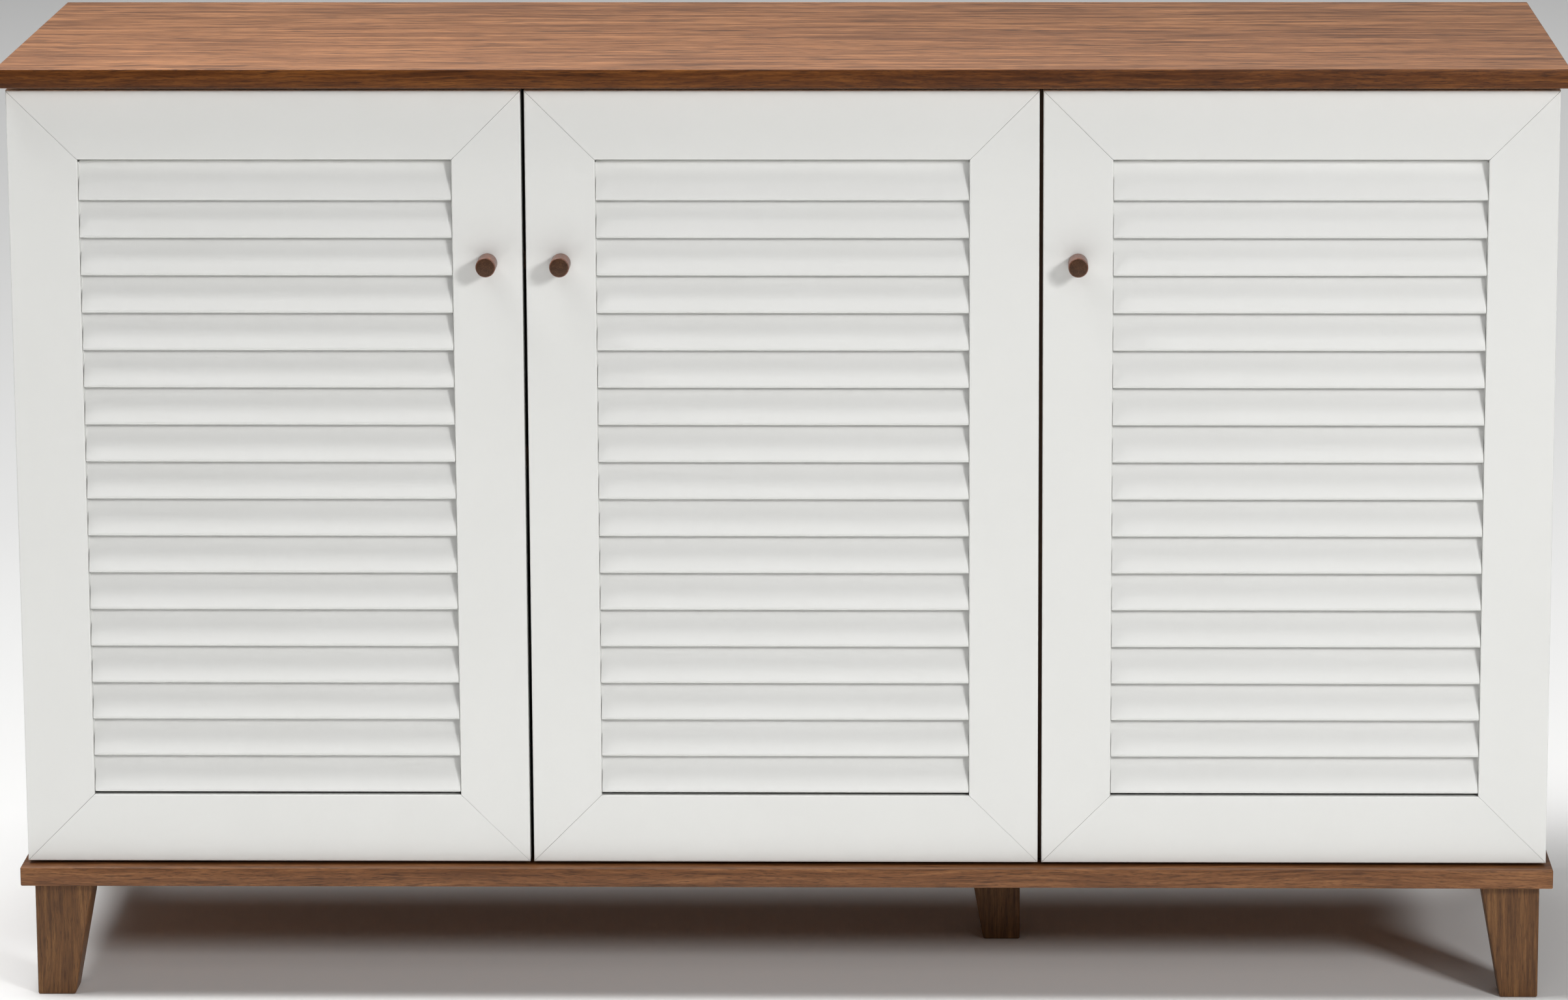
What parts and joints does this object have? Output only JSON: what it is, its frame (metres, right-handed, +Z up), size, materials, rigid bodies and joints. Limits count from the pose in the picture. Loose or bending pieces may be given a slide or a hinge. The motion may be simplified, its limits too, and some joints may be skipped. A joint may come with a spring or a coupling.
{
  "type": "shoe cabinet",
  "caption": "Low shoe cabinet with louvred white doors between wood-finish boards, on tapered legs, with shelves behind the doors.",
  "frame": {"origin": "on the floor, under the middle of the whole cabinet's bounding box", "axes": "+Z up, doors face -Y, +X to the right of a person who stands in front of the doors"},
  "size_m": [1.2, 0.41, 0.735],
  "materials": {
    "walnut_board": "satin wood-grain laminate",
    "carcass_board": "matt wood-grain laminate",
    "back_board": "thin printed fibreboard",
    "white_door": "satin white foil",
    "walnut_leg": "satin stained wood",
    "walnut_knob": "satin dark stained wood",
    "nickel": "nickel-plated steel"
  },
  "bodies": {
    "carcass": {"back_panel_narrow": "back_board", "back_panel_wide": "back_board", "base_panel": "walnut_board", "front_left_leg": "walnut_leg", "front_right_leg": "walnut_leg", "left_door_lower_hinge_arm": "nickel", "left_door_upper_hinge_arm": "nickel", "left_side_panel": "carcass_board", "middle_door_lower_hinge_arm": "nickel", "middle_door_upper_hinge_arm": "nickel", "middle_leg": "walnut_leg", "narrow_shelf_1": "carcass_board", "narrow_shelf_2": "carcass_board", "narrow_shelf_3": "carcass_board", "partition_panel": "carcass_board", "rear_left_leg": "walnut_leg", "rear_right_leg": "walnut_leg", "right_door_lower_hinge_arm": "nickel", "right_door_upper_hinge_arm": "nickel", "right_side_panel": "carcass_board", "top_panel": "walnut_board", "wide_shelf_1": "carcass_board", "wide_shelf_2": "carcass_board", "wide_shelf_3": "carcass_board"},
    "left_door": {"left_door_bottom_rail": "white_door", "left_door_hinge_stile": "white_door", "left_door_knob": "walnut_knob", "left_door_knob_screw": "nickel", "left_door_knob_stile": "white_door", "left_door_louvres": "white_door", "left_door_lower_hinge_cup": "nickel", "left_door_top_rail": "white_door", "left_door_upper_hinge_cup": "nickel"},
    "middle_door": {"middle_door_bottom_rail": "white_door", "middle_door_hinge_stile": "white_door", "middle_door_knob": "walnut_knob", "middle_door_knob_screw": "nickel", "middle_door_knob_stile": "white_door", "middle_door_louvres": "white_door", "middle_door_lower_hinge_cup": "nickel", "middle_door_top_rail": "white_door", "middle_door_upper_hinge_cup": "nickel"},
    "right_door": {"right_door_bottom_rail": "white_door", "right_door_hinge_stile": "white_door", "right_door_knob": "walnut_knob", "right_door_knob_screw": "nickel", "right_door_knob_stile": "white_door", "right_door_louvres": "white_door", "right_door_lower_hinge_cup": "nickel", "right_door_top_rail": "white_door", "right_door_upper_hinge_cup": "nickel"}
  },
  "joints": [
    {"name": "left_door_hinge", "type": "hinge", "parent": "carcass", "child": "left_door", "pos_m": [-0.5885, -0.178, 0.41285], "axis": [0, 0, -1], "range_deg": [0, 95]},
    {"name": "middle_door_hinge", "type": "hinge", "parent": "carcass", "child": "middle_door", "pos_m": [0.19183, -0.178, 0.41285], "axis": [0, 0, 1], "range_deg": [0, 95]},
    {"name": "right_door_hinge", "type": "hinge", "parent": "carcass", "child": "right_door", "pos_m": [0.5885, -0.178, 0.41285], "axis": [0, 0, 1], "range_deg": [0, 95]}
  ]
}
